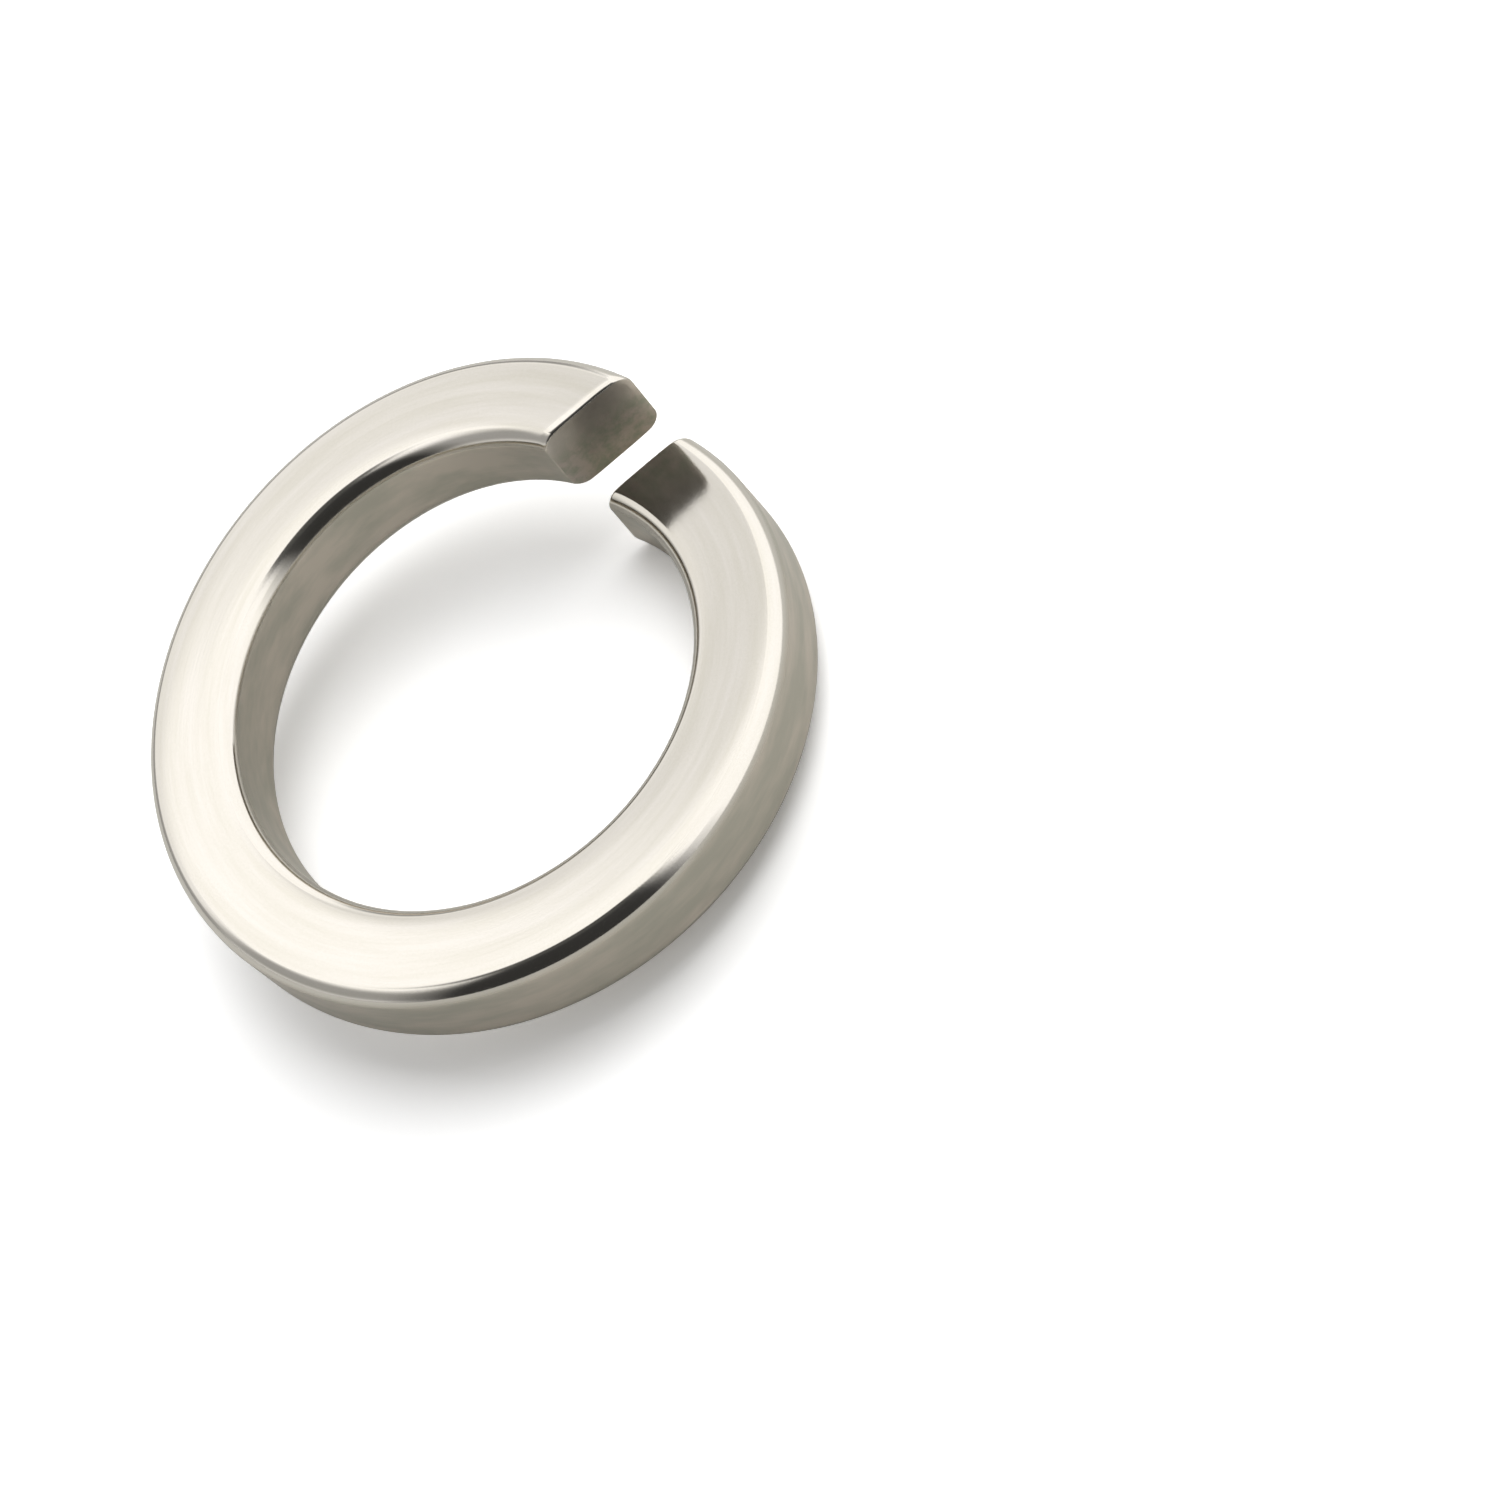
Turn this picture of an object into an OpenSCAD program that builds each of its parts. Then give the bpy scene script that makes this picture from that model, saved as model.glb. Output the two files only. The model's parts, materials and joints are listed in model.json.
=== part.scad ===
// Split spring washer for a 16 mm bolt: one open turn of square wire with rounded edges.
// It is coiled left-handed, so that the upper end bites against a bolt being undone.
// The bore axis is Z, the lowest edge of the coil is at z = 0 and the slot faces -Y.

/* [Bore] */
// Diameter of the hole, with running room over the bolt
bore_d = 16.6; // [12:0.1:40]

/* [Wire] */
// Width of the wire, across the ring
wire_w = 3.5; // [1.5:0.1:5]
// Thickness of the wire, along the axis
wire_t = 3.5; // [1.5:0.1:4.5]
// Radius that rolling leaves on the four long edges
edge_r = 0.5; // [0.1:0.05:0.7]

/* [Coil] */
// Height that the upper end is sprung above the lower end
rise = 3.7; // [0.5:0.1:8]

/* [Slot] */
// Width of the slot, square to the two cut faces
slot_w = 0.65; // [0.3:0.05:2]
// Turn of the cut from the radial line, clockwise from above towards the outside
cut_skew = 22; // [0:1:30]
// Lean of the cut from upright, clockwise towards the top
cut_lean = 4; // [0:1:8]

/* [Hidden] */

bore_r = bore_d / 2;
outer_r = bore_r + wire_w;
mid_r = bore_r + wire_w / 2;
free_h = wire_t + rise;
slot_az = -90;

// Facets of one turn and of one rounded edge
turn_steps = 72;
arc_steps = 4;
// Angle at which a rounded edge meets the upright wall
meet = 20;
// How far short of the wall the rounding ends, in a straight flank that runs on into the stock
lead = 0.03;
// Stock left on both walls, which the true cylinders then take off
stock = 0.05;
// How far a trimming cylinder runs past the coil at each end
past = 1;
$fn = 180;

// Middle of the rounded edges, and where the stock on the walls ends
edge_in = bore_r + lead + edge_r * cos(meet);
edge_out = outer_r - lead - edge_r * cos(meet);
edge_z = wire_t / 2 - edge_r;
stock_z = edge_z + edge_r * sin(meet) - (lead + stock) / tan(meet);

// One rounded edge of the wire, as [radius, height] points between two angles
function edge(r, z, from, to) = [
    for (i = [0:arc_steps])
        let (a = from + (to - from) * i / arc_steps) [r + edge_r * cos(a), z + edge_r * sin(a)]
];

// Section of the wire, counterclockwise from the outer lower edge
section = concat(
    edge(edge_out, -edge_z, -90, -meet),
    [[outer_r + stock, -stock_z], [outer_r + stock, stock_z]],
    edge(edge_out, edge_z, meet, 90),
    edge(edge_in, edge_z, 90, 180 - meet),
    [[bore_r - stock, stock_z], [bore_r - stock, -stock_z]],
    edge(edge_in, -edge_z, 180 + meet, 270)
);

// Azimuth at which a section point meets a cut face: side 1 is the upper end, -1 the lower end
function cut_az(p, side) =
    slot_az - cut_skew
    + asin((mid_r * sin(cut_skew) + side * slot_w / 2 - p[1] * tan(cut_lean)) / p[0]);

// Azimuths of the highest and the lowest corner of the coil's flats
top_az = cut_az([edge_out, wire_t / 2], 1);
low_az = cut_az([edge_in, -wire_t / 2], -1) + 360;

// Height of the middle of the wire, which falls as the azimuth grows
function wire_z(az) = wire_t / 2 + rise * (low_az - az) / (low_az - top_az);

// A section point carried along the turn, from the upper cut at u = 0 to the lower cut at u = 1
function carried(p, u) =
    let (from = cut_az(p, 1), to = cut_az(p, -1) + 360, az = from + (to - from) * u)
    [p[0] * cos(az), p[0] * sin(az), p[1] + wire_z(az)];

// The open turn of wire, with both ends on the faces of the slot
module turn() {
    n = len(section);
    polyhedron(
        points = [for (i = [0:turn_steps], p = section) carried(p, i / turn_steps)],
        faces = concat(
            [[for (k = [n - 1:-1:0]) k]],
            [for (i = [0:turn_steps - 1], k = [0:n - 1]) [i * n + k, i * n + (k + 1) % n, (i + 1) * n + k]],
            [
                for (i = [0:turn_steps - 1], k = [0:n - 1])
                    [i * n + (k + 1) % n, (i + 1) * n + (k + 1) % n, (i + 1) * n + k]
            ],
            [[for (k = [0:n - 1]) turn_steps * n + k]]
        )
    );
}

// An upright cylinder about the bore axis, longer than the coil is high
module trim(r) {
    translate([0, 0, -past]) cylinder(h = free_h + 2 * past, r = r);
}

// The whole washer: the turn of wire with a true bore and a true outside
module lock_washer() {
    color("silver") difference() {
        intersection() {
            turn();
            trim(outer_r);
        }
        trim(bore_r);
    }
}

lock_washer();
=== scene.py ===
import json
import math

import bpy
from mathutils import Matrix, Vector


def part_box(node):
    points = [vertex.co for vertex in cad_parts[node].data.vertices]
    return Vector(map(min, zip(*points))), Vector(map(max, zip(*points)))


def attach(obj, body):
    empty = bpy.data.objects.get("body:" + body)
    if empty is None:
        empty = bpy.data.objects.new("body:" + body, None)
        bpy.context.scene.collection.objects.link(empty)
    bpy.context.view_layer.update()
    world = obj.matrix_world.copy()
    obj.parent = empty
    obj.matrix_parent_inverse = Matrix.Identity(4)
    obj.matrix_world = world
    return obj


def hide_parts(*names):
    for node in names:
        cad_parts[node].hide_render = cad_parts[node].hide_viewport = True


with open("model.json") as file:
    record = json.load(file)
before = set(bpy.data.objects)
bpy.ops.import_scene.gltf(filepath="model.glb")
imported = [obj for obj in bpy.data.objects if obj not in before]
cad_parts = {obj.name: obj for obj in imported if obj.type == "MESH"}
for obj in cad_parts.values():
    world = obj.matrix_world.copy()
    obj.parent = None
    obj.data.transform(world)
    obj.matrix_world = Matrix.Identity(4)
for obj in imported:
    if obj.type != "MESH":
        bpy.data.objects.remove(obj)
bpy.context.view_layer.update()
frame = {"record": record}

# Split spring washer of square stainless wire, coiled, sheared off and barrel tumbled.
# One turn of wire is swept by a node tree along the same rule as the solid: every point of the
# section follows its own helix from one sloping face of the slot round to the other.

MM = 0.001


# Sizes, in metres

bore = next(m for m in frame["record"]["mounts"] if m["name"] == "bore")
highest_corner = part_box("lock_washer")[1]

bore_radius = bore["dims"]["r_mm"] * MM
outer_radius = highest_corner.x
# The wire is square
wire_width = outer_radius - bore_radius
wire_thickness = wire_width
# How far the upper end is sprung above the lower end
rise = highest_corner.z - wire_thickness

# Rounding of the four long edges
edge_radius = 0.72 * MM
# The flats are rolled a little crowned: this is how far they would sag at the walls
crown = 0.14 * MM
# The sag grows with this power of the way from the middle of the flat to the wall
crown_power = 4.0

# The slot faces -Y. Its cut is turned clockwise from radial, and leans clockwise towards the top
slot_azimuth = -math.pi / 2
slot_width = 0.65 * MM
cut_skew = math.radians(22)
cut_lean = math.radians(4)

# The shear draws the flat down before it cuts: long and shallow, then a sharp corner
roll_over_length = 0.42 * MM
roll_over_depth = 0.12 * MM
# Share of that on the walls, and on the side where the shear comes out
lesser_share = 0.25

# Points on one rounded edge as it is drawn, and then evenly round the whole section
edge_points = 24
points_round = 224
# Sections along the turn, from the middle of a cut face to its rim, and over the rim
rings_along = 360
face_rings = 8
roll_over_rings = 12
# Points nearer than this become one, which closes the middle of each cut face
weld_distance = 0.001 * MM


# Nodes


def add(tree, kind, *inputs, **settings):
    """Adds a node. The inputs are values, sockets or nodes, in the node's order; None skips one."""
    made = tree.nodes.new(kind)
    for name, value in settings.items():
        setattr(made, name, value)
    for socket, value in zip([s for s in made.inputs if s.enabled], inputs):
        if isinstance(value, bpy.types.Node):
            value = next(s for s in value.outputs if s.enabled)
        if isinstance(value, bpy.types.NodeSocket):
            tree.links.new(value, socket)
        elif value is not None:
            socket.default_value = value
    return made


def linear(colour):
    """A colour written as sRGB hex, as the shaders' linear values."""
    parts = [int(colour[i : i + 2], 16) / 255 for i in (1, 3, 5)]
    return [p / 12.92 if p <= 0.04045 else ((p + 0.055) / 1.055) ** 2.4 for p in parts] + [1]


def empty_material(name):
    """A new material and its node tree, with nothing in it yet."""
    made = bpy.data.materials.new(name)
    made.use_nodes = True
    made.node_tree.nodes.clear()
    return made, made.node_tree


# The turn of wire


def cut_azimuth_tree():
    """Azimuth at which a point of the section, at its radius and height, meets a face of the slot."""
    tree = bpy.data.node_groups.new("Cut azimuth", "GeometryNodeTree")
    for name in ("Radius", "Height", "Side", "Middle Radius", "Slot Width", "Cut Skew", "Cut Lean"):
        tree.interface.new_socket(name, in_out="INPUT", socket_type="NodeSocketFloat")
    tree.interface.new_socket("Azimuth", in_out="OUTPUT", socket_type="NodeSocketFloat")
    given = add(tree, "NodeGroupInput").outputs

    skewed = add(tree, "ShaderNodeMath", given["Cut Skew"], operation="SINE")
    middle = add(tree, "ShaderNodeMath", given["Middle Radius"], skewed, operation="MULTIPLY")
    half_slot = add(tree, "ShaderNodeMath", given["Slot Width"], 0.5, operation="MULTIPLY")
    face = add(tree, "ShaderNodeMath", given["Side"], half_slot, middle, operation="MULTIPLY_ADD")
    lean = add(tree, "ShaderNodeMath", given["Cut Lean"], operation="TANGENT")
    leaning = add(tree, "ShaderNodeMath", given["Height"], lean, operation="MULTIPLY")
    offset = add(tree, "ShaderNodeMath", face, leaning, operation="SUBTRACT")
    ratio = add(tree, "ShaderNodeMath", offset, given["Radius"], operation="DIVIDE")
    turned = add(tree, "ShaderNodeMath", ratio, operation="ARCSINE")
    unskewed = add(tree, "ShaderNodeMath", turned, given["Cut Skew"], operation="SUBTRACT")
    azimuth = add(tree, "ShaderNodeMath", unskewed, slot_azimuth, operation="ADD")
    add(tree, "NodeGroupOutput", azimuth)
    return tree


def coil_tree():
    """One open turn of wire with rounded edges, its two ends on the faces of the slot."""
    tree = bpy.data.node_groups.new("Open turn of wire", "GeometryNodeTree")
    tree.interface.new_socket("Geometry", in_out="INPUT", socket_type="NodeSocketGeometry")
    for name in (
        "Bore Radius", "Wire Width", "Wire Thickness", "Edge Radius", "Crown", "Rise",
        "Slot Width", "Cut Skew", "Cut Lean", "Roll-over Length", "Roll-over Depth",
    ):
        tree.interface.new_socket(name, in_out="INPUT", socket_type="NodeSocketFloat")
    for name in ("Rings Along", "Points Round", "Face Rings", "Roll-over Rings"):
        tree.interface.new_socket(name, in_out="INPUT", socket_type="NodeSocketInt")
    for name in ("Wire Finish", "Cut Finish"):
        tree.interface.new_socket(name, in_out="INPUT", socket_type="NodeSocketMaterial")
    tree.interface.new_socket("Geometry", in_out="OUTPUT", socket_type="NodeSocketGeometry")
    given = add(tree, "NodeGroupInput").outputs
    width, thickness = given["Wire Width"], given["Wire Thickness"]

    # Section of the wire: round edges, and flats that sag a little towards them
    half_width = add(tree, "ShaderNodeMath", width, 0.5, operation="MULTIPLY")
    half_thickness = add(tree, "ShaderNodeMath", thickness, 0.5, operation="MULTIPLY")
    square = add(tree, "GeometryNodeCurvePrimitiveQuadrilateral", width, thickness)
    rounded = add(
        tree, "GeometryNodeFilletCurve", square, edge_points, given["Edge Radius"], mode="POLY"
    )
    drawn_wire = add(tree, "GeometryNodeResampleCurve", rounded, None, given["Points Round"])
    across = add(tree, "ShaderNodeSeparateXYZ", add(tree, "GeometryNodeInputPosition")).outputs
    aside = add(tree, "ShaderNodeMath", across["X"], half_width, operation="DIVIDE")
    fall = add(tree, "ShaderNodeMath", aside, crown_power, operation="POWER")
    sag = add(tree, "ShaderNodeMath", fall, given["Crown"], operation="MULTIPLY")
    limit = add(tree, "ShaderNodeMath", half_thickness, sag, operation="SUBTRACT")
    square_height = add(tree, "ShaderNodeMath", across["Y"], operation="ABSOLUTE")
    crowned = add(tree, "ShaderNodeMath", square_height, limit, operation="MINIMUM")
    up_or_down = add(tree, "ShaderNodeMath", across["Y"], operation="SIGN")
    height = add(tree, "ShaderNodeMath", crowned, up_or_down, operation="MULTIPLY")
    rolled = add(tree, "ShaderNodeCombineXYZ", across["X"], height)
    section = add(tree, "GeometryNodeSetPosition", drawn_wire, None, rolled)

    # Each point's place in the section, and the direction that its skin faces
    position = add(tree, "GeometryNodeInputPosition")
    tangent = add(tree, "GeometryNodeInputTangent")
    outwards = add(tree, "ShaderNodeVectorMath", tangent, (0, 0, 1), operation="CROSS_PRODUCT")
    kept_section = add(tree, "GeometryNodeCaptureAttribute", section)
    for name, source in (("Place", position), ("Facing", outwards)):
        kept_section.capture_items.new("VECTOR", name)
        tree.links.new(source.outputs[0], kept_section.inputs[name])
    place, facing = kept_section.outputs["Place"], kept_section.outputs["Facing"]

    # Rings of that section along the turn, with the extra ones that round and close both ends
    end_rings = add(
        tree, "ShaderNodeMath", given["Face Rings"], given["Roll-over Rings"], operation="ADD"
    )
    last = add(tree, "ShaderNodeMath", end_rings, 2, given["Rings Along"], operation="MULTIPLY_ADD")
    rail_line = add(tree, "GeometryNodeCurvePrimitiveLine", (0, 0, 0), (0, 0, 1))
    rail_count = add(tree, "ShaderNodeMath", last, 1, operation="ADD")
    rail = add(tree, "GeometryNodeResampleCurve", rail_line, None, rail_count)
    ring_number = add(tree, "GeometryNodeSplineParameter").outputs["Index"]
    kept_rail = add(tree, "GeometryNodeCaptureAttribute", rail)
    kept_rail.capture_items.new("FLOAT", "Ring")
    tree.links.new(ring_number, kept_rail.inputs["Ring"])
    ring = kept_rail.outputs["Ring"]
    rail_curve, section_curve = kept_rail.outputs["Geometry"], kept_section.outputs["Geometry"]
    tube = add(tree, "GeometryNodeCurveToMesh", rail_curve, section_curve, None, False)

    # How far a ring is from the nearer end, and how far along the turn
    from_last = add(tree, "ShaderNodeMath", last, ring, operation="SUBTRACT")
    from_end = add(tree, "ShaderNodeMath", ring, from_last, operation="MINIMUM")
    face_share = add(tree, "ShaderNodeMapRange", from_end, 0, given["Face Rings"], 0, 1)
    roll = add(
        tree, "ShaderNodeMapRange", from_end, given["Face Rings"], end_rings, 0, math.pi / 2
    )
    last_body = add(tree, "ShaderNodeMath", last, end_rings, operation="SUBTRACT")
    along = add(tree, "ShaderNodeMapRange", ring, end_rings, last_body, 0, 1)
    # 1 on the upper half of the turn and -1 on the lower half, with a short change between them
    side = add(tree, "ShaderNodeMapRange", along, 0.49, 0.51, 1, -1)

    # The shear enters at the top of the upper end and at the bottom of the lower end
    upwards = add(tree, "ShaderNodeSeparateXYZ", facing).outputs["Y"]
    entered = add(tree, "ShaderNodeMath", upwards, side, operation="MULTIPLY")
    drawn = add(tree, "ShaderNodeMapRange", entered, 0, 1, lesser_share, 1)
    depth = add(tree, "ShaderNodeMath", given["Roll-over Depth"], drawn, operation="MULTIPLY")
    length = add(tree, "ShaderNodeMath", given["Roll-over Length"], drawn, operation="MULTIPLY")

    # The rim is a quarter of an ellipse, that deep and that long
    sine = add(tree, "ShaderNodeMath", roll, operation="SINE")
    cosine = add(tree, "ShaderNodeMath", roll, operation="COSINE")
    sunk = add(tree, "ShaderNodeMath", 1, sine, operation="SUBTRACT")
    back = add(tree, "ShaderNodeMath", 1, cosine, operation="SUBTRACT")
    inset = add(tree, "ShaderNodeMath", depth, sunk, operation="MULTIPLY")
    setback = add(tree, "ShaderNodeMath", length, back, operation="MULTIPLY")

    # The section point of this ring: drawn in by the roll-over, and closing to a point on the face
    inwards = add(tree, "ShaderNodeMath", inset, -1, operation="MULTIPLY")
    drawn_in = add(tree, "ShaderNodeVectorMath", facing, inwards, operation="SCALE")
    skin = add(tree, "ShaderNodeVectorMath", place, drawn_in, operation="ADD")
    closing = add(tree, "ShaderNodeVectorMath", skin, face_share, operation="SCALE")
    point = add(tree, "ShaderNodeSeparateXYZ", closing).outputs
    middle = add(tree, "ShaderNodeMath", given["Bore Radius"], half_width, operation="ADD")
    radius = add(tree, "ShaderNodeMath", middle, point["X"], operation="ADD")

    # Where that point's helix starts and ends, and where the flats' highest and lowest corners are
    cut = cut_azimuth_tree()
    slot = [given[name] for name in ("Slot Width", "Cut Skew", "Cut Lean")]
    outside = add(tree, "ShaderNodeMath", middle, half_width, operation="ADD")
    outer_corner = add(tree, "ShaderNodeMath", outside, given["Edge Radius"], operation="SUBTRACT")
    inner_corner = add(
        tree, "ShaderNodeMath", given["Bore Radius"], given["Edge Radius"], operation="ADD"
    )
    lower_flat = add(tree, "ShaderNodeMath", half_thickness, -1, operation="MULTIPLY")
    start, end, highest, lowest = [
        add(tree, "GeometryNodeGroup", *values, middle, *slot, node_tree=cut)
        for values in (
            (radius, point["Y"], 1),
            (radius, point["Y"], -1),
            (outer_corner, half_thickness, 1),
            (inner_corner, lower_flat, -1),
        )
    ]
    back_angle = add(tree, "ShaderNodeMath", setback, radius, operation="DIVIDE")
    first = add(tree, "ShaderNodeMath", start, back_angle, operation="ADD")
    full_turn = add(tree, "ShaderNodeMath", end, 2 * math.pi, operation="ADD")
    final = add(tree, "ShaderNodeMath", full_turn, back_angle, operation="SUBTRACT")
    azimuth = add(tree, "ShaderNodeMix", along, first, final)

    # The helix, falling from the upper end round to the lower end
    low_azimuth = add(tree, "ShaderNodeMath", lowest, 2 * math.pi, operation="ADD")
    high_middle = add(tree, "ShaderNodeMath", half_thickness, given["Rise"], operation="ADD")
    middle_height = add(
        tree, "ShaderNodeMapRange", azimuth, highest, low_azimuth, high_middle, half_thickness,
        clamp=False,
    )
    east = add(tree, "ShaderNodeMath", azimuth, operation="COSINE")
    north = add(tree, "ShaderNodeMath", azimuth, operation="SINE")
    x = add(tree, "ShaderNodeMath", radius, east, operation="MULTIPLY")
    y = add(tree, "ShaderNodeMath", radius, north, operation="MULTIPLY")
    z = add(tree, "ShaderNodeMath", point["Y"], middle_height, operation="ADD")
    carried = add(tree, "ShaderNodeCombineXYZ", x, y, z)
    coiled = add(tree, "GeometryNodeSetPosition", tube, None, carried)

    # What the finishes read: the place on the straight wire, how nearly the skin faces sideways, as
    # a wall does, and the height towards the side where the shear enters, from -1 to 1
    run = add(tree, "ShaderNodeMath", azimuth, middle, operation="MULTIPLY")
    straight = add(tree, "ShaderNodeCombineXYZ", run, point["X"], point["Y"])
    sideways = add(tree, "ShaderNodeSeparateXYZ", facing).outputs["X"]
    wall = add(tree, "ShaderNodeMath", sideways, operation="ABSOLUTE")
    level = add(tree, "ShaderNodeMath", point["Y"], half_thickness, operation="DIVIDE")
    entry = add(tree, "ShaderNodeMath", level, side, operation="MULTIPLY")
    noted = coiled
    for name, value, data_type in (
        ("wire_place", straight, "FLOAT_VECTOR"),
        ("wire_wall", wall, "FLOAT"),
        ("cut_entry", entry, "FLOAT"),
    ):
        noted = add(
            tree, "GeometryNodeStoreNamedAttribute", noted, None, name, value,
            data_type=data_type, domain="POINT",
        )

    # One closed skin, in its two finishes
    cut_face = add(
        tree, "FunctionNodeCompare", from_end, given["Face Rings"], operation="LESS_THAN"
    )
    welded = add(tree, "GeometryNodeMergeByDistance", noted, None, weld_distance)
    smooth = add(tree, "GeometryNodeSetShadeSmooth", welded)
    real = add(tree, "GeometryNodeRealizeInstances", smooth)
    # The straight tube's section mirrors as it goes round the turn, which leaves the skin inside out
    outward = add(tree, "GeometryNodeFlipFaces", real)
    dressed = add(tree, "GeometryNodeSetMaterial", outward, None, given["Wire Finish"])
    finished = add(tree, "GeometryNodeSetMaterial", dressed, cut_face, given["Cut Finish"])
    add(tree, "NodeGroupOutput", finished)
    return tree


# Finishes

# The span of a noise that makes the whole change from one colour to the other
COLOUR_SPAN = (0.38, 0.62)
# The span of a noise that makes the whole change of roughness
ROUGH_SPAN = (0.3, 0.7)
METAL = 1.0


def tumbled_wire():
    """Stainless steel wire, rolled square and barrel tumbled: warm light grey, bright, not a mirror.

    The flats and edges are polished smoother by the tumbling, and the walls keep a rougher
    rolled skin. The walls' darker colour is painted shade, for the shadowed table that they
    reflect. Faint rolling lines run along the wire.
    """
    made, tree = empty_material("tumbled_stainless_wire")
    place = add(tree, "ShaderNodeAttribute", attribute_name="wire_place").outputs["Vector"]
    wall = add(tree, "ShaderNodeAttribute", attribute_name="wire_wall").outputs["Fac"]
    here = add(tree, "ShaderNodeTexCoord").outputs["Object"]

    # Patterns drawn out along the wire, each with its length, its width, and its detail:
    # rolling lines, faint streaks of the rolls, and clouds of the rolled skin
    patterns = []
    for length, width, detail, decay in (
        (3 * MM, 0.06 * MM, 2.0, 0.5),
        (7 * MM, 0.4 * MM, 3.0, 0.6),
        (3.5 * MM, 1 * MM, 3.0, 0.6),
    ):
        stretch = (1 / length, 1 / width, 1 / width)
        space = add(tree, "ShaderNodeVectorMath", place, stretch, operation="MULTIPLY")
        patterns.append(add(tree, "ShaderNodeTexNoise", space, 1.0, detail, decay))
    lines, streaks, clouds = patterns
    # Marks of the tumbling stones
    mark_size = 0.08 * MM
    marks = add(tree, "ShaderNodeTexNoise", here, 1 / mark_size, 3.0, 0.6)

    # The rougher skin begins on the last part of the rounding, next to the wall, and the painted
    # shade of the walls begins with it
    skin = add(tree, "ShaderNodeMapRange", wall, 0.88, 1, 0, 1)
    # Painted shade: the walls get darker colours for the shadowed table that they reflect, and the
    # clouds vary these colours at random
    shaded_wall_share = add(tree, "ShaderNodeMapRange", clouds, *COLOUR_SPAN, 0, 1)
    shaded_wall_colours = linear("#cec5b8"), linear("#bab6a9")
    painted_shade_wall = add(tree, "ShaderNodeMix", shaded_wall_share, *shaded_wall_colours, data_type="RGBA")
    mark_share = 0.4
    spotted = add(tree, "ShaderNodeMath", marks, mark_share, streaks, operation="MULTIPLY_ADD")
    bright_share = add(tree, "ShaderNodeMapRange", spotted, 0.5, 0.9, 0, 1)
    bright_colours = linear("#e3ded6"), linear("#dad5ca")
    bright = add(tree, "ShaderNodeMix", bright_share, *bright_colours, data_type="RGBA")
    colour = add(tree, "ShaderNodeMix", skin, bright, painted_shade_wall, data_type="RGBA")

    smoothest, roughest, skin_roughness = 0.09, 0.14, 0.2
    polished = add(tree, "ShaderNodeMapRange", clouds, *ROUGH_SPAN, smoothest, roughest)
    roughness = add(tree, "ShaderNodeMath", skin, skin_roughness, polished, operation="MULTIPLY_ADD")
    line_share, line_strength, line_depth = 0.6, 0.35, 0.002 * MM
    height = add(tree, "ShaderNodeMath", lines, line_share, marks, operation="MULTIPLY_ADD")
    bump = add(tree, "ShaderNodeBump", line_strength, line_depth, None, height)
    steel = add(tree, "ShaderNodeBsdfPrincipled", colour, METAL, roughness, None, None, bump)
    add(tree, "ShaderNodeOutputMaterial", steel)
    return made


def sheared_face():
    """The sheared end of the wire: darker than the outside, and matt.

    It is burnished on the half where the shear enters, and torn and rougher on the other.
    """
    made, tree = empty_material("sheared_stainless_face")
    here = add(tree, "ShaderNodeTexCoord").outputs["Object"]
    entry = add(tree, "ShaderNodeAttribute", attribute_name="cut_entry").outputs["Fac"]
    grain_size, blotch_size = 0.25 * MM, 0.5 * MM
    torn = add(tree, "ShaderNodeTexNoise", here, 1 / grain_size, 4.0, 0.6)
    blotches = add(tree, "ShaderNodeTexNoise", here, 1 / blotch_size, 3.0, 0.6)

    share = add(tree, "ShaderNodeMapRange", blotches, *COLOUR_SPAN, 0, 1)
    torn_colours = linear("#cac0b6"), linear("#adae9e")
    torn_colour = add(tree, "ShaderNodeMix", share, *torn_colours, data_type="RGBA")
    # The blotches make the border of the burnished part ragged
    raggedness = 0.5
    ragged = add(tree, "ShaderNodeMath", blotches, raggedness, entry, operation="MULTIPLY_ADD")
    burnish = add(tree, "ShaderNodeMapRange", ragged, 0.3, 0.9, 0, 1)
    colour = add(tree, "ShaderNodeMix", burnish, torn_colour, linear("#d6cfc5"), data_type="RGBA")

    burnished_rough, smoothest_torn, roughest_torn = 0.3, 0.34, 0.46
    torn_rough = add(
        tree, "ShaderNodeMapRange", torn, *ROUGH_SPAN, smoothest_torn, roughest_torn
    )
    roughness = add(tree, "ShaderNodeMix", burnish, torn_rough, burnished_rough)
    grain_strength, grain_depth = 0.5, 0.014 * MM
    bump = add(tree, "ShaderNodeBump", grain_strength, grain_depth, None, torn)
    steel = add(tree, "ShaderNodeBsdfPrincipled", colour, METAL, roughness, None, None, bump)
    add(tree, "ShaderNodeOutputMaterial", steel)
    return made


# The washer


def coil_of_wire(name):
    """The washer as one plain mesh, worked out by the node tree."""
    tree = coil_tree()
    maker = bpy.data.objects.new(name, bpy.data.meshes.new(name))
    bpy.context.scene.collection.objects.link(maker)
    modifier = maker.modifiers.new("Coil", "NODES")
    modifier.node_group = tree
    sizes = {
        "Bore Radius": bore_radius,
        "Wire Width": wire_width,
        "Wire Thickness": wire_thickness,
        "Edge Radius": edge_radius,
        "Crown": crown,
        "Rise": rise,
        "Slot Width": slot_width,
        "Cut Skew": cut_skew,
        "Cut Lean": cut_lean,
        "Roll-over Length": roll_over_length,
        "Roll-over Depth": roll_over_depth,
        "Rings Along": rings_along,
        "Points Round": points_round,
        "Face Rings": face_rings,
        "Roll-over Rings": roll_over_rings,
        "Wire Finish": tumbled_wire(),
        "Cut Finish": sheared_face(),
    }
    for item in tree.interface.items_tree:
        if item.item_type == "SOCKET" and item.in_out == "INPUT" and item.name in sizes:
            modifier[item.identifier] = sizes[item.name]
    evaluated = maker.evaluated_get(bpy.context.evaluated_depsgraph_get())
    maker.data = bpy.data.meshes.new_from_object(evaluated)
    maker.modifiers.clear()
    return maker


washer = coil_of_wire("coiled_wire")
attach(washer, "root")
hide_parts("lock_washer")


# Camera


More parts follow.
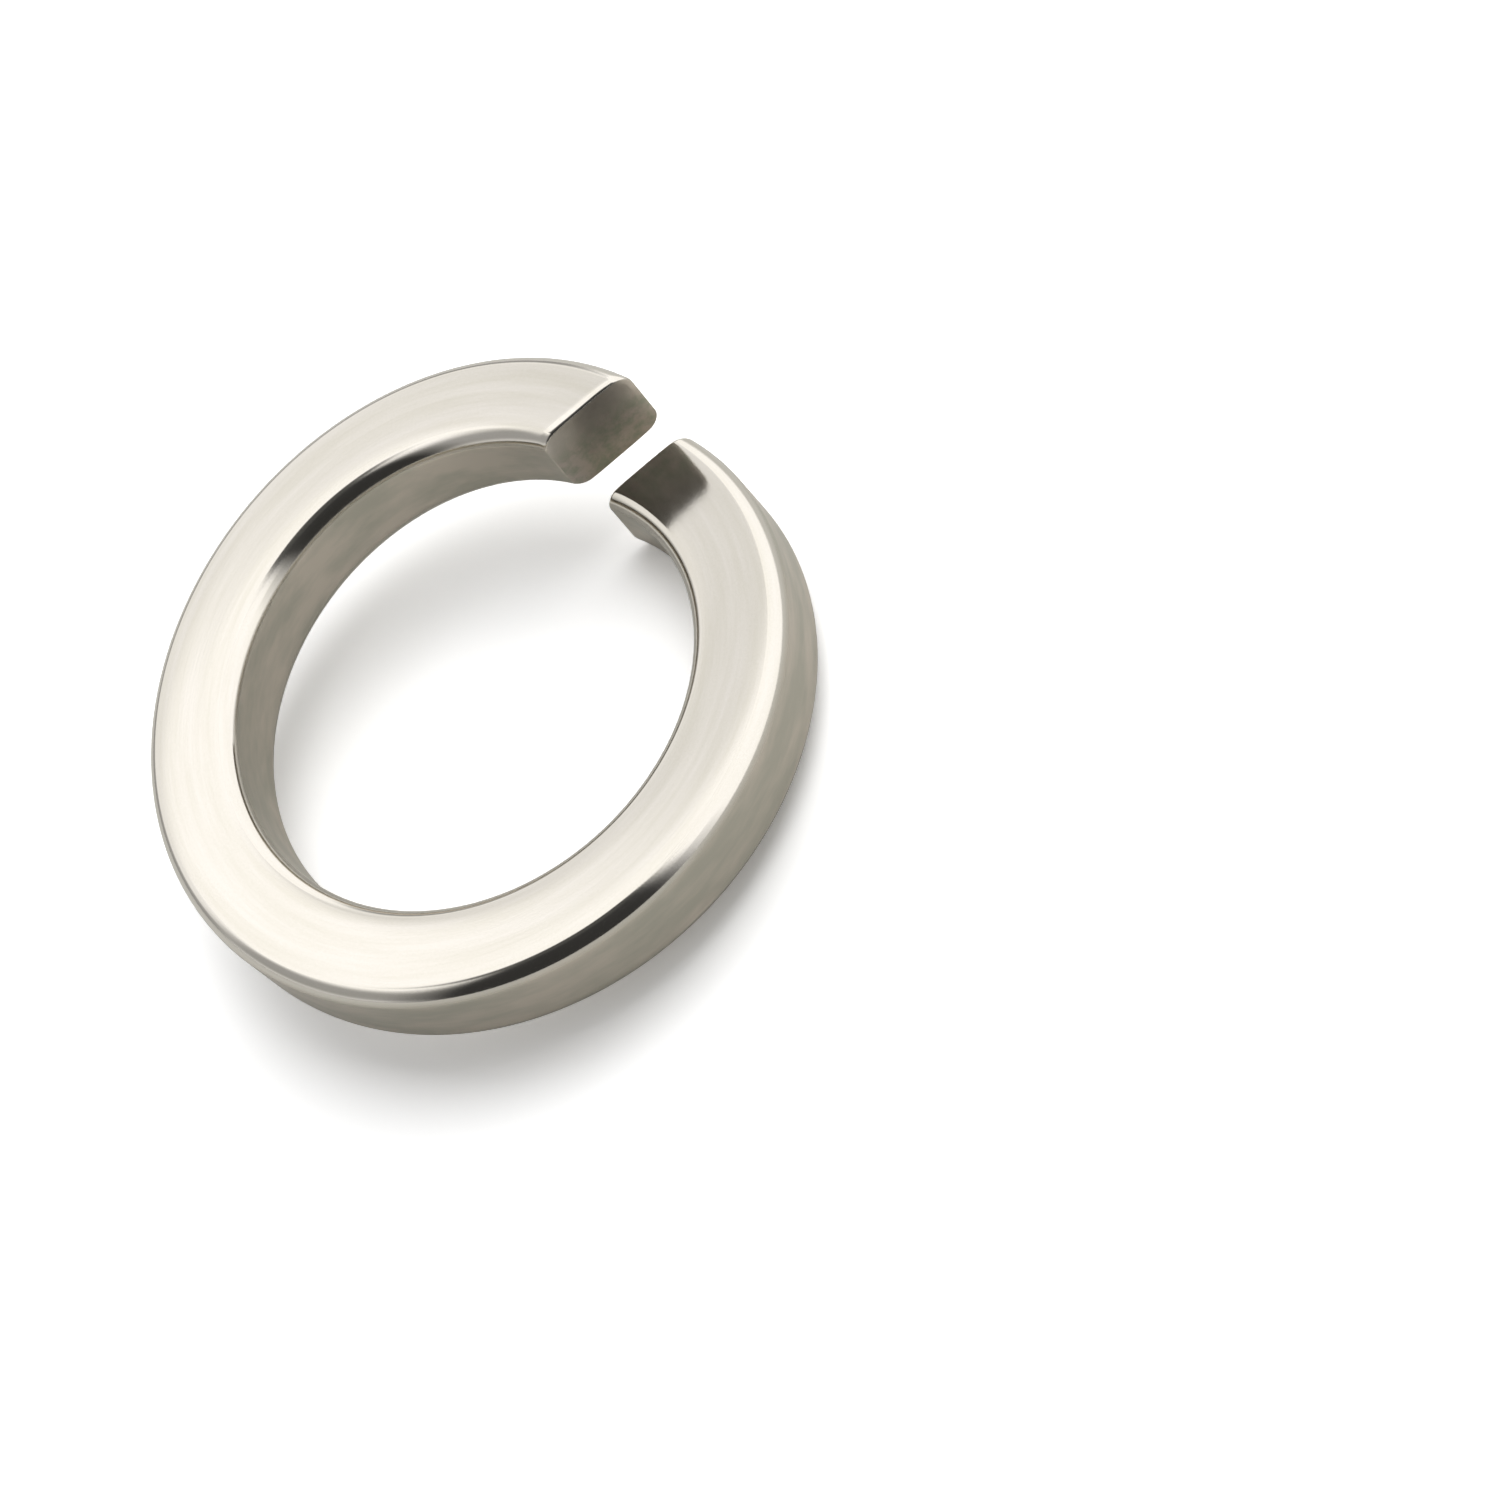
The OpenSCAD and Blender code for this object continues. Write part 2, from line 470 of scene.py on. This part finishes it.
def direction(azimuth, elevation):
    """Unit vector towards an azimuth, counterclockwise from +X, and an elevation, in degrees."""
    a, e = math.radians(azimuth), math.radians(elevation)
    return Vector((math.cos(a) * math.cos(e), math.sin(a) * math.cos(e), math.sin(e)))


camera_back = direction(azimuth=164.43, elevation=53.23)
camera_aim = Vector((-10.954, -2.709, 3.6)) * MM
camera_distance = 133.62 * MM
camera_roll = math.radians(-44.32)
camera_angle = math.radians(20.865)
camera_clip = 10 * MM

level = Vector((0, 0, 1)).cross(camera_back).normalized()
upright = camera_back.cross(level)
right = level * math.cos(camera_roll) + upright * math.sin(camera_roll)
camera_axes = Matrix((right, camera_back.cross(right), camera_back)).transposed()
camera_place = Matrix.Translation(camera_aim + camera_back * camera_distance)
camera = bpy.data.objects.new("camera", bpy.data.cameras.new("camera"))
camera.data.angle = camera_angle
camera.data.clip_start = camera_clip
camera.matrix_world = camera_place @ camera_axes.to_4x4()
bpy.context.scene.collection.objects.link(camera)
bpy.context.scene.camera = camera


# Table, studio and light


def staged(name, points, faces, finish):
    """An object of the studio, which isn't part of the washer."""
    mesh = bpy.data.meshes.new(name)
    mesh.from_pydata(points, [], faces)
    mesh.materials.append(finish)
    made = bpy.data.objects.new(name, mesh)
    bpy.context.scene.collection.objects.link(made)
    return made


def pale_table(size, seen_colour, cast_colour):
    """A matt white table top, with a colour to be seen in and one to light the washer with.

    It looks white, and it keeps the washer's shadow.
    """
    finish, tree = empty_material("matt_white_table")
    seen = add(tree, "ShaderNodeLightPath").outputs["Is Camera Ray"]
    colour = add(tree, "ShaderNodeMix", seen, cast_colour, seen_colour, data_type="RGBA")
    matt = add(tree, "ShaderNodeBsdfDiffuse", colour)
    add(tree, "ShaderNodeOutputMaterial", matt)
    h = size / 2
    corners = [(-h, -h, 0), (h, -h, 0), (h, h, 0), (-h, h, 0)]
    return staged("table_top", corners, [(0, 1, 2, 3)], finish)


def smooth_step(x, low, high):
    """From 0 at low to 1 at high, without a bend at either."""
    t = min(max((x - low) / (high - low), 0), 1)
    return t * t * (3 - 2 * t)


def studio_card(name, azimuths, elevations, tone, softs, distance):
    """A curved card round the washer that only its gloss sees.

    It spans the azimuths and elevations, in degrees, and its edges fade over softs degrees.
    """
    finish, tree = empty_material(name)
    cover = add(tree, "ShaderNodeAttribute", attribute_name="cover").outputs["Fac"]
    glow = add(tree, "ShaderNodeEmission", (tone, tone, tone, 1), 1.0)
    clear = add(tree, "ShaderNodeBsdfTransparent")
    mixed = add(tree, "ShaderNodeMixShader", cover, clear, glow)
    add(tree, "ShaderNodeOutputMaterial", mixed)

    # Degrees between the points
    step = 2.0
    columns = round((azimuths[1] - azimuths[0]) / step) + 1
    rows = round((elevations[1] - elevations[0]) / step) + 1
    points, faces, covers = [], [], []
    for row in range(rows):
        for column in range(columns):
            a, e = azimuths[0] + column * step, elevations[0] + row * step
            points.append(direction(a, e) * distance)
            covers.append(math.prod(
                smooth_step(v, low, low + soft) * smooth_step(-v, -high, soft - high)
                for v, (low, high), soft in ((a, azimuths, softs[0]), (e, elevations, softs[1]))
            ))
            if row and column:
                k = row * columns + column
                faces.append((k, k - 1, k - columns - 1, k - columns))
    card = staged(name, points, faces, finish)
    card.data.attributes.new("cover", "FLOAT", "POINT").data.foreach_set("value", covers)
    card.visible_camera = card.visible_diffuse = card.visible_shadow = False
    card.visible_transmission = card.visible_volume_scatter = False
    return card


def soft_lamp(name, azimuth, elevation, distance, size, power):
    """A square lamp that faces the washer, and that its gloss doesn't see."""
    lamp = bpy.data.lights.new(name, "AREA")
    lamp.shape = "SQUARE"
    lamp.size = size
    lamp.energy = power
    made = bpy.data.objects.new(name, lamp)
    back = direction(azimuth, elevation)
    made.location = back * distance
    made.rotation_euler = back.to_track_quat("Z", "Y").to_euler()
    made.visible_glossy = False
    bpy.context.scene.collection.objects.link(made)
    return made


def studio_world(light):
    """White where the camera, a gloss or a clear body looks, and an even soft light elsewhere."""
    world = bpy.data.worlds.new("white_studio")
    world.use_nodes = True
    tree = world.node_tree
    tree.nodes.clear()
    rays = add(tree, "ShaderNodeLightPath").outputs
    seen = rays["Is Camera Ray"]
    for other in ("Is Glossy Ray", "Is Transmission Ray"):
        seen = add(tree, "ShaderNodeMath", seen, rays[other], operation="MAXIMUM")
    strength = add(tree, "ShaderNodeMapRange", seen, 0, 1, light, 1)
    background = add(tree, "ShaderNodeBackground", (1, 1, 1, 1), strength)
    add(tree, "ShaderNodeOutputWorld", background)
    bpy.context.scene.world = world


pale_table(size=1.2, seen_colour=(1.45, 1.45, 1.45, 1), cast_colour=linear("#d4d4d1"))
soft_lamp("window_light", azimuth=-72, elevation=57, distance=0.5, size=0.55, power=2.4)
studio_world(light=0.42)

# Azimuths, elevations, brightness, and how softly the sides and the top and bottom fade.
# The nearer of two cards that overlap is the one that is seen
cards = (
    ("dark_overhead", (14, 200), (60, 91), 0.08, (56, 10)),
    ("dark_room", (82, 190), (-8, 91), 0.04, (24, 4)),
    ("grey_wall", (30, 112), (-8, 60), 0.42, (20, 24)),
    ("grey_corner", (-46, -10), (28, 62), 0.95, (12, 14)),
    ("low_wall", (-50, 50), (-8, 22), 0.38, (10, 10)),
    ("far_wall", (-48, 50), (4, 52), 1.06, (10, 8)),
    ("white_panel", (-172, -36), (0, 80), 1.32, (10, 6)),
    ("white_ceiling", (-200, 90), (34, 91), 1.34, (26, 4)),
)
nearest_card, card_gap = 0.4, 0.01
for order, card in enumerate(cards):
    studio_card(*card, nearest_card + card_gap * order)

bpy.context.scene.view_settings.view_transform = "Standard"
